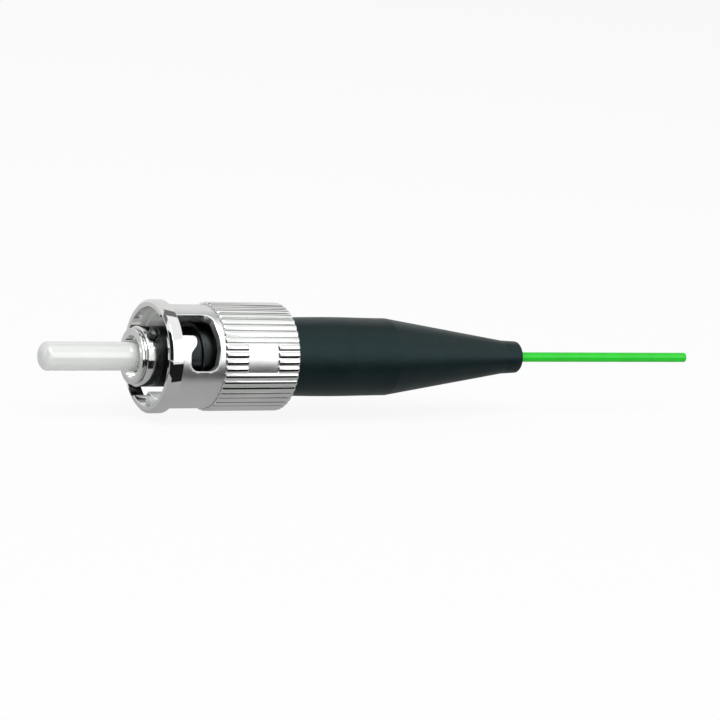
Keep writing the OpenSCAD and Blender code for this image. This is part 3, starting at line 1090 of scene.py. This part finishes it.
    def build_ring(self) -> bpy.types.Object:
        """Makes the front ring, with the grooves in its bore that let the lugs through."""
        pitch = 360 / self.slots
        columns: list[tuple[float, float, float]] = []
        ring_half, lug_half = self.sector(self.ring_bore_r), self.sector(self.lug_r)
        for s in range(self.slots):
            mid = s * pitch
            floor = [mid + lug_half * k / 12 for k in range(-12, 13)]
            columns += [(mid - ring_half, mid - lug_half, self.ring_bore_r)]
            columns += [(a, a, self.lug_r) for a in floor]
            columns += [(mid + ring_half, mid + lug_half, self.ring_bore_r)]
            gap = pitch - 2 * ring_half
            wall = [mid + ring_half + gap * k / 120 for k in range(1, 120)]
            columns += [(a, a, self.ring_bore_r) for a in wall]
        x0, x1, r = self.front_x, self.ring_end_x, self.ring_r
        outer = rounded([(x1, self.lug_r + 0.05, 0.0), (x1, r, 0.08), (x0 + 0.24, r, 0.06),
                         (x0, r - 0.24, 0.06), (x0, self.lug_r + 0.05, 0.0)], 0.05, 4)
        sections = []
        for inner_a, outer_a, bore in columns:
            inner = [(x0, bore + 0.05), (x0 + 0.05, bore), (x1 - 0.02, bore), (x1, bore + 0.02)]
            sections.append([polar(x, q, outer_a) for x, q in outer]
                            + [polar(x, q, inner_a) for x, q in inner])
        return self.place(finish_mesh("nut_ring", *lofted(sections, True), 36.0, 0.0008))

    def place(self, obj: bpy.types.Object) -> bpy.types.Object:
        """Turns a piece that is drawn in the nut's own angles to its place.

        Args:
            obj: The piece.

        Returns:
            The same piece.
        """
        obj.data.transform(Matrix.Rotation(math.radians(self.turn), 4, "X"))
        return obj

    def ridge(self, name: str, x0: float, x1: float) -> bpy.types.Object:
        """Makes one ridge of the grip at angle 0, as a closed bar.

        Args:
            name: Name of the piece.
            x0: Station of its front end.
            x1: Station of its rear end.

        Returns:
            The ridge.
        """
        top, crown = self.crest_r, 0.5
        ends = [(x0, 0.14), (x0 + 0.03, 0.08), (x0 + 0.09, 0.025), (x0 + 0.18, 0.0),
                ((x0 + x1) / 2, 0.0), (x1 - 0.2, 0.0), (x1 - 0.1, 0.04), (x1 - 0.03, 0.1),
                (x1, 0.17)]
        sections = []
        for x, drop in ends:
            height = top - drop
            slim = 1.0 - 1.3 * max(0.0, drop - 0.02)
            section = [(-0.26, 4.45), (-0.285, height - 0.16)]
            section += [(crown * math.sin(math.radians(t)),
                         height - crown + crown * math.cos(math.radians(t)))
                        for t in range(-35, 36, 7)]
            section += [(0.285, height - 0.16), (0.26, 4.45)]
            sections.append([(x * MM, u * slim * MM, r * MM) for u, r in section])
        return finish_mesh(name, *lofted(sections), 50.0)

    def build_grip(self, material: bpy.types.Material) -> list[bpy.types.Object]:
        """Makes the grip's ridges: whole ones, and short ones before and behind the pad.

        Args:
            material: The ridges' material.

        Returns:
            The three pieces.
        """
        first, last = self.pad_ridges
        tree = ridge_tree()
        parts = [("grip_ridges", self.knurl_x, self.end_x, last + 1, self.ridges - 1 + first),
                 ("grip_ridges_front", self.knurl_x, self.pad_x, first, last),
                 ("grip_ridges_rear", self.pad_end_x, self.end_x, first, last)]
        made = []
        for name, x0, x1, begin, end in parts:
            bar = self.ridge(name, x0, x1)
            modifier = bar.modifiers.new("Ridges", "NODES")
            modifier.node_group = tree
            pitch = 2 * math.pi / self.ridges
            values = {"Count": end - begin + 1, "Pitch": pitch,
                      "Start": math.radians(self.turn) + (begin + 0.5) * pitch,
                      "Material": material}
            for item in tree.interface.items_tree:
                if item.item_type == "SOCKET" and item.name in values:
                    modifier[item.identifier] = values[item.name]
            made.append(apply_modifiers(bar))
        return made


def ridge_tree() -> bpy.types.NodeTree:
    """Builds the geometry tree that repeats one ridge round the axis.

    Returns:
        The tree, with inputs Count, Pitch, Start and Material.
    """
    tree = bpy.data.node_groups.new("ridges_round_axis", "GeometryNodeTree")
    tree.is_modifier = True
    face = tree.interface
    face.new_socket("Geometry", in_out="INPUT", socket_type="NodeSocketGeometry")
    face.new_socket("Count", in_out="INPUT", socket_type="NodeSocketInt")
    face.new_socket("Pitch", in_out="INPUT", socket_type="NodeSocketFloat")
    face.new_socket("Start", in_out="INPUT", socket_type="NodeSocketFloat")
    face.new_socket("Material", in_out="INPUT", socket_type="NodeSocketMaterial")
    face.new_socket("Geometry", in_out="OUTPUT", socket_type="NodeSocketGeometry")
    inp, out = tree.nodes.new("NodeGroupInput"), tree.nodes.new("NodeGroupOutput")
    index = tree.nodes.new("GeometryNodeInputIndex").outputs[0]
    angle = math_node(tree, "MULTIPLY_ADD", index, inp.outputs["Pitch"], inp.outputs["Start"])
    turn = node(tree, "ShaderNodeCombineXYZ", None, X=angle)
    points = node(tree, "GeometryNodePoints", None, Count=inp.outputs["Count"])
    copies = node(tree, "GeometryNodeInstanceOnPoints", None, Points=points.outputs[0],
                  Instance=inp.outputs["Geometry"], Rotation=turn.outputs[0])
    real = node(tree, "GeometryNodeRealizeInstances", None, Geometry=copies.outputs[0])
    final = node(tree, "GeometryNodeSetMaterial", None, Geometry=real.outputs[0],
                 Material=inp.outputs["Material"])
    tree.links.new(final.outputs[0], out.inputs[0])
    return tree


@dataclass
class Boot:
    """The strain-relief boot."""

    front_x: float = 22.5
    length: float = 25.45
    plain: float = 11.2
    radius: float = 3.5
    swell: float = 0.06
    taper_r: float = 1.54
    end_r: float = 1.46
    end_len: float = 1.65
    edge: float = 0.18
    bore_r: float = 0.5
    stem_r: float = 2.3
    stem_len: float = 9.0

    def build(self) -> bpy.types.Object:
        """Makes the boot as a tapered tube."""
        start, end = self.front_x, self.front_x + self.length
        line: list[Point] = [(start, self.stem_r), (start, self.radius - 0.08),
                             (start + 0.03, self.radius - 0.02)]
        for k in range(1, 30):
            x = start + self.plain * k / 30
            line.append((x, self.radius + self.swell * math.sin(math.pi * k / 30) ** 2))
        knee = start + self.plain
        line += rounded([(knee - 0.6, self.radius), (knee, self.radius, 0.9),
                         (end - self.end_len, self.taper_r, 0.5), (end, self.end_r, self.edge),
                         (end, self.bore_r + 0.03, 0.05), (end - 0.4, self.bore_r)], 0.1, 6)
        line += [(start + self.stem_len, self.bore_r), (start + self.stem_len, self.stem_r)]
        return turned("strain_boot", line, 160, 45.0, loop=True)


@dataclass
class Tail:
    """The buffered fibre, from its stripped end in the body to its cut end."""

    start_x: float = 14.5
    end_x: float = 67.2
    exit_x: float = 47.95
    diameter: float = 0.9
    rings: int = 80

    def build(self) -> tuple[bpy.types.Object, list[Vertex]]:
        """Makes the fibre as a tube along its path, with clean square ends.

        Returns:
            The piece, and the points that it follows.
        """
        r = self.diameter / 2
        path = [self.start_x + (self.end_x - self.start_x) * k / self.rings
                for k in range(self.rings + 1)]
        profile = [(path[0], 0.0), (path[0], r)] + [(x, r) for x in path[1:-1]]
        profile += rounded([(path[-1] - 0.2, r), (path[-1], r, 0.03), (path[-1], 0.0)], 0.03, 3)
        piece = turned("green_fibre", profile, 32, 50.0)
        return piece, [(x * MM, 0.0, 0.0) for x in path]


# ---------------------------------------------------------------- studio


@dataclass
class Studio:
    """Camera, lamps, cards, backdrop and floor."""

    camera_at: Vertex = (-0.09936, -0.226438, 0.045799)
    azimuth: float = -30.0
    elevation: float = 10.0
    roll: float = 5.813
    lens: float = 146.875
    floor_z: float = -0.0056
    floor_half: float = 2.0
    white: float = 1.0
    soft: float = 0.46
    paper: float = 0.86
    glow_share: float = 0.9
    aim: Vertex = (0.03, 0, 0)
    faced: Vertex = (0.012, 0, 0)
    card_r: float = 500.0
    lift: float = 0.00005
    lamps: tuple = (("key_lamp", (-0.1, -0.35, 0.55), (0.5, 0.4), 2.7),
                    ("fill_lamp", (0.35, -0.45, 0.2), (0.4, 0.4), 0.5))
    arcs: tuple = (("card_top", range(-28, -8, 3), (-0.6, 0.6), 0.17),
                   ("card_rear", range(-100, -27, 6), (-0.9, 0.9), 0.8))
    # Glowing strips just above the floor that only reflections see: a painted reflection of the
    # floor, with painted shade under the object that lightens further back, and a near-black strip
    # in front.
    strips: tuple = (("card_table", (-0.0095, -0.085), (-0.3, 0.6), 0.012),
                     ("card_floor", (-0.0095, 0.003), (-0.3, 0.6), 0.4),
                     ("card_floor_mid", (0.003, 0.02), (-0.3, 0.6), 0.48),
                     ("card_floor_far", (0.02, 0.5), (-0.5, 0.6), 0.6))

    def camera(self) -> None:
        """Makes the camera."""
        az, el = math.radians(self.azimuth), math.radians(self.elevation)
        back = Vector((math.sin(az) * math.cos(el), -math.cos(az) * math.cos(el), math.sin(el)))
        right = Vector((math.cos(az), math.sin(az), 0))
        up = back.cross(right)
        c, s = math.cos(math.radians(self.roll)), math.sin(math.radians(self.roll))
        x, y = right * c + up * s, up * c - right * s
        data = bpy.data.cameras.new("camera")
        data.lens, data.sensor_width = self.lens, 36.0
        data.clip_start, data.clip_end = 0.01, 5.0
        camera = bpy.data.objects.new("camera", data)
        camera.matrix_world = Matrix.Translation(self.camera_at) @ Matrix(
            (x, y, back)).transposed().to_4x4()
        bpy.context.scene.collection.objects.link(camera)
        bpy.context.scene.camera = camera

    def world(self) -> None:
        """Makes the even pale surroundings, white where they are seen."""
        world = bpy.data.worlds.new("surroundings")
        bpy.context.scene.world = world
        world.use_nodes = True
        tree = world.node_tree
        tree.nodes.clear()
        path = node(tree, "ShaderNodeLightPath")
        seen = math_node(tree, "MAXIMUM", path.outputs["Is Camera Ray"],
                         math_node(tree, "MAXIMUM", path.outputs["Is Glossy Ray"],
                                   path.outputs["Is Transmission Ray"]))
        soft = node(tree, "ShaderNodeBackground", None, Color=(1, 1, 1, 1), Strength=self.soft)
        bright = node(tree, "ShaderNodeBackground", None, Color=(1, 1, 1, 1),
                      Strength=self.white)
        mix = node(tree, "ShaderNodeMixShader", None, i0=seen, i1=soft.outputs[0],
                   i2=bright.outputs[0])
        out = node(tree, "ShaderNodeOutputWorld")
        tree.links.new(mix.outputs[0], out.inputs[0])

    def lamp(self, name: str, at: Vertex, size: tuple[float, float], power: float) -> None:
        """Makes one soft lamp that faces the object.

        Args:
            name: Name of the lamp.
            at: Its place, in metres.
            size: Its width and height, in metres.
            power: Its power, in watts.
        """
        data = bpy.data.lights.new(name, "AREA")
        data.shape, data.size, data.size_y = "RECTANGLE", size[0], size[1]
        data.energy = power
        lamp = bpy.data.objects.new(name, data)
        lamp.location = at
        aim = Vector(self.aim) - Vector(at)
        lamp.rotation_euler = aim.to_track_quat("-Z", "Y").to_euler()
        bpy.context.scene.collection.objects.link(lamp)

    def card(self, name: str, section: list[Point], span: tuple[float, float],
             level: float) -> None:
        """Makes a card along the connector's line that only reflections see.

        Args:
            name: Name of the card.
            section: Its section as (y, z) pairs, in metres.
            span: Stations of its ends, in metres.
            level: Its brightness.
        """
        verts = [(x, y, z) for y, z in section for x in span]
        faces = [(2 * k, 2 * k + 1, 2 * k + 3, 2 * k + 2) for k in range(len(section) - 1)]
        self.reflected(name, verts, faces, level)

    def panel(self, name: str, at: Vertex, size: tuple[float, float], level: float) -> None:
        """Makes a flat card that faces the object.

        Args:
            name: Name of the card.
            at: Its middle, in metres.
            size: Its width and height, in metres.
            level: Its brightness.
        """
        middle = Vector(at)
        turn = (Vector(self.faced) - middle).to_track_quat("-Z", "Y")
        verts = [tuple(middle + turn @ Vector((size[0] / 2 * i, size[1] / 2 * j, 0)))
                 for i, j in ((-1, -1), (1, -1), (1, 1), (-1, 1))]
        self.reflected(name, verts, [(0, 1, 2, 3)], level)

    def reflected(self, name: str, verts: list[Vertex], faces: list[tuple[int, ...]],
                  level: float) -> None:
        """Makes a glowing sheet that only reflections see.

        Args:
            name: Name of the sheet.
            verts: Its points, in metres.
            faces: Its faces.
            level: Its brightness.
        """
        mesh = bpy.data.meshes.new(name)
        mesh.from_pydata(verts, [], faces)
        card = bpy.data.objects.new(name, mesh)
        bpy.context.scene.collection.objects.link(card)
        material = bpy.data.materials.new(name)
        material.use_nodes = True
        tree = material.node_tree
        tree.nodes.clear()
        glow = node(tree, "ShaderNodeEmission", None, Color=(level, level, level, 1))
        out = node(tree, "ShaderNodeOutputMaterial")
        tree.links.new(glow.outputs[0], out.inputs[0])
        mesh.materials.append(material)
        card.visible_camera = False
        card.visible_diffuse = False
        card.visible_shadow = False
        card.visible_transmission = False
        card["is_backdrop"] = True

    def floor(self) -> None:
        """Makes the pale floor, which keeps the object's shadow."""
        mesh = bpy.data.meshes.new("floor")
        half = self.floor_half
        mesh.from_pydata([(-half, -half, 0), (half, -half, 0), (half, half, 0), (-half, half, 0)],
                         [], [(0, 1, 2, 3)])
        floor = bpy.data.objects.new("floor", mesh)
        floor.location = (0, 0, self.floor_z)
        bpy.context.scene.collection.objects.link(floor)
        material = bpy.data.materials.new("floor")
        material.use_nodes = True
        tree = material.node_tree
        tree.nodes.clear()
        path = node(tree, "ShaderNodeLightPath")
        paper = node(tree, "ShaderNodeBsdfDiffuse", None, Color=(*[self.paper] * 3, 1))
        glow = node(tree, "ShaderNodeEmission", None, Color=(1, 1, 1, 1), Strength=self.white)
        share = math_node(tree, "MULTIPLY", path.outputs["Is Camera Ray"], self.glow_share)
        mix = node(tree, "ShaderNodeMixShader", None, i0=share, i1=paper.outputs[0],
                   i2=glow.outputs[0])
        out = node(tree, "ShaderNodeOutputMaterial")
        tree.links.new(mix.outputs[0], out.inputs[0])
        mesh.materials.append(material)
        floor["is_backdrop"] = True

    def build(self) -> None:
        """Makes the whole studio."""
        self.world()
        for name, at, size, power in self.lamps:
            self.lamp(name, at, size, power)
        for name, angles, span, level in self.arcs:
            section = [polar(0, self.card_r, angle)[1:] for angle in angles]
            self.card(name, section, span, level)
        low = self.floor_z + self.lift
        for name, edges, span, level in self.strips:
            self.card(name, [(y, low) for y in edges], span, level)
        self.panel("card_front", (-0.42, -0.2, 0.08), (0.42, 0.5), 0.015)
        self.floor()


# ---------------------------------------------------------------- assembly


def place(obj: bpy.types.Object, body: str, material: bpy.types.Material, slot: str,
          *replaced: str) -> bpy.types.Object:
    """Dresses a piece and ties it to the frame.

    Args:
        obj: The piece.
        body: Body that it rides on.
        material: Its material.
        slot: The record's slot for the piece; not used.
        *replaced: CAD nodes that it stands for.

    Returns:
        The piece.
    """
    obj.data.materials.clear()
    obj.data.materials.append(material)
    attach(obj, body)
    if replaced:
        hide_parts(*replaced)
    LOG.info("placed %s on %s", obj.name, body)
    return obj


def measured() -> list[list[float]]:
    """Returns the shown object's lowest and highest corner, in metres."""
    bpy.context.view_layer.update()
    bpy.context.evaluated_depsgraph_get().update()
    return [list(corner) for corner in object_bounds()]


def main() -> None:
    """Builds the dressed connector round the frame."""
    logging.basicConfig(level=logging.INFO, format="%(name)s: %(message)s")
    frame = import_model()
    scene = bpy.context.scene
    scene.view_settings.view_transform = "Standard"
    cad_box = measured()
    for group in (turning_marks, handling_wear, moulded_skin):
        group()
    finishes = {f.name: f.build() for f in (
        NICKEL, NICKEL_TURNED, BODY_METAL, BARREL_METAL, GROOVE_SHADE_METAL, PAINTED_SHADE_METAL, SPRING,
        CERAMIC, ELASTOMER, BUFFER, GUIDE, FIBRE_GLASS)}
    studio = Studio()
    studio.camera()

    tail = Tail()
    fibre, path = tail.build()
    place(fibre, "body", finishes[BUFFER.name], "buffer_plastic", "buffered_fibre")

    ferrules = FerruleSet()
    place(soften(ferrules.build_ferrule()), "body", finishes[CERAMIC.name], "ceramic", "ferrule")
    holder = place(soften(ferrules.build_holder()), "body", finishes[NICKEL_TURNED.name],
                   "nickel", "ferrule_holder")
    dress(holder, finishes[NICKEL_TURNED.name], finishes[PAINTED_SHADE_METAL.name])
    body = Body()
    place(soften(body.build_body()), "body", finishes[BODY_METAL.name], "nickel",
          "connector_body")
    # The key pin is nickel; its near-black material is painted shade.
    place(soften(body.build_key()), "body", finishes[PAINTED_SHADE_METAL.name], "nickel", "key_pin")
    place(soften(body.build_clip()), "body", finishes[SPRING.name], "spring_steel",
          "retaining_clip")
    place(soften(body.build_washer()), "washer", finishes[NICKEL_TURNED.name], "nickel",
          "thrust_washer")
    place(Boot().build(), "body", finishes[ELASTOMER.name], "boot_plastic", "boot")

    spring = Spring()
    coil = place(spring.build(), "body", finishes[SPRING.name], "spring_steel", "coil_spring")
    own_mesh(coil)

    nut = CouplingNut()
    shell = place(soften(nut.build_shell()), "nut", finishes[NICKEL.name], "nickel",
                  "coupling_nut")
    dress(shell, finishes[BARREL_METAL.name], finishes[PAINTED_SHADE_METAL.name],
          finishes[GROOVE_SHADE_METAL.name])
    ring = place(soften(nut.build_ring()), "nut", finishes[NICKEL.name], "nickel")
    LOG.info("nut: %s and %s", shell.name, ring.name)
    for ridges in nut.build_grip(finishes[NICKEL.name]):
        place(ridges, "nut", finishes[NICKEL.name], "nickel")

    for name, finish in (("guide_tube", GUIDE), ("glass_fibre", FIBRE_GLASS)):
        dress(frame["nodes"][name], finishes[finish.name])
    studio.build()
    {"cad": cad_box, "visual": measured()}


if __name__ == "__main__":
    main()
